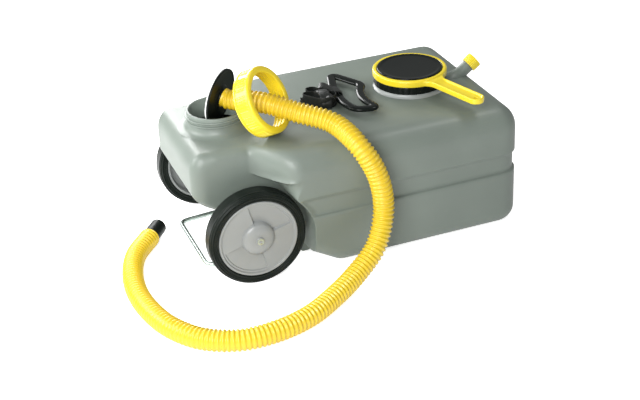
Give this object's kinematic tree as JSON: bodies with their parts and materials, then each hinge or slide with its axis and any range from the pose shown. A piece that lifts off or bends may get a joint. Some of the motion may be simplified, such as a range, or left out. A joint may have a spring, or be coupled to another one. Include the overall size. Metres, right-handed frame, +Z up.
{
  "type": "portable waste water tank",
  "caption": "Flat grey moulded waste water tank on wheels, with screw lid and yellow spanner, vent cap, pull grip, steel bail and a corrugated yellow drain hose with a union ring.",
  "frame": {"origin": "middle of the tank's flat underside, on the ground", "axes": "+X along the tank to the lid end, away from the wheels; +Y to the far side, so the near side with the hose is -Y; +Z up"},
  "size_m": [0.6345, 0.4764, 0.3036],
  "materials": {
    "grey_polyethylene": "satin blow moulding",
    "hub_plastic": "satin",
    "black_rubber": "matt",
    "black_plastic": "glossy",
    "dark_plastic": "satin",
    "yellow_plastic": "semi-gloss",
    "yellow_hose": "semi-gloss, corrugated",
    "white_gasket": "matt",
    "zinc_steel": "zinc plated",
    "black_webbing": "woven webbing"
  },
  "bodies": {
    "tank": {"tank_body": "grey_polyethylene", "axle": "zinc_steel", "axle_spacer_near": "dark_plastic", "axle_spacer_far": "dark_plastic", "wheel_washer_near": "zinc_steel", "wheel_washer_far": "zinc_steel", "axle_cap_near": "hub_plastic", "axle_cap_far": "hub_plastic", "hose_flange": "black_plastic", "flange_gasket": "white_gasket", "hose": "yellow_hose", "hose_cuff": "black_plastic", "strap_anchor": "black_plastic", "anchor_screw_1": "zinc_steel", "anchor_screw_2": "zinc_steel", "pull_strap": "black_webbing"},
    "wheel_near": {"wheel_hub_near": "hub_plastic", "tyre_near": "black_rubber"},
    "wheel_far": {"wheel_hub_far": "hub_plastic", "tyre_far": "black_rubber"},
    "bail": {"bail": "zinc_steel"},
    "lid_carrier": {"lid_seal": "black_rubber"},
    "lid": {"lid_cap": "black_plastic"},
    "spanner": {"cap_spanner": "yellow_plastic"},
    "vent_carrier": {"vent_seal": "black_rubber"},
    "vent": {"vent_cap": "yellow_plastic"},
    "ring": {"union_ring": "yellow_plastic"},
    "grip": {"pull_grip": "black_plastic"}
  },
  "joints": [
    {"name": "wheel_near_spin", "type": "hinge", "parent": "tank", "child": "wheel_near", "pos_m": [-0.266, -0.135, 0.075], "axis": [0, 1, 0], "continuous": true},
    {"name": "wheel_far_spin", "type": "hinge", "parent": "tank", "child": "wheel_far", "pos_m": [-0.266, 0.135, 0.075], "axis": [0, 1, 0], "continuous": true},
    {"name": "bail_swing", "type": "hinge", "parent": "tank", "child": "bail", "pos_m": [-0.176, 0, 0.0125], "axis": [0, 1, 0], "range_deg": [-75, 28]},
    {"name": "lid_lift", "type": "slide", "parent": "tank", "child": "lid_carrier", "axis": [0, 0, 1], "range_m": [0, 0.0248]},
    {"name": "lid_turn", "type": "hinge", "parent": "lid_carrier", "child": "lid", "pos_m": [0.0477, 0, 0.2], "axis": [0, 0, 1], "range_deg": [0, 1440]},
    {"name": "spanner_lift", "type": "slide", "parent": "lid_carrier", "child": "spanner", "axis": [0, 0, 1], "range_m": [0, 0.05]},
    {"name": "vent_lift", "type": "slide", "parent": "tank", "child": "vent_carrier", "axis": [0.7986, 0, 0.6018], "range_m": [0, 0.0125]},
    {"name": "vent_turn", "type": "hinge", "parent": "vent_carrier", "child": "vent", "pos_m": [0.119, 0, 0.188], "axis": [0.7986, 0, 0.6018], "range_deg": [0, 1800]},
    {"name": "ring_spin", "type": "hinge", "parent": "tank", "child": "ring", "pos_m": [-0.2191, -0.0653, 0.2522], "axis": [0.631, -0.641, 0.437], "continuous": true},
    {"name": "grip_swing", "type": "hinge", "parent": "tank", "child": "grip", "pos_m": [-0.078, -0.0066, 0.2092], "axis": [-0.0767, -0.9971, 0], "range_deg": [0, 100]}
  ],
  "couplings": [
    {"joint": "lid_lift", "follows": "lid_turn", "m_per_rad": 0.00098676},
    {"joint": "vent_lift", "follows": "vent_turn", "m_per_rad": 0.00039789}
  ]
}
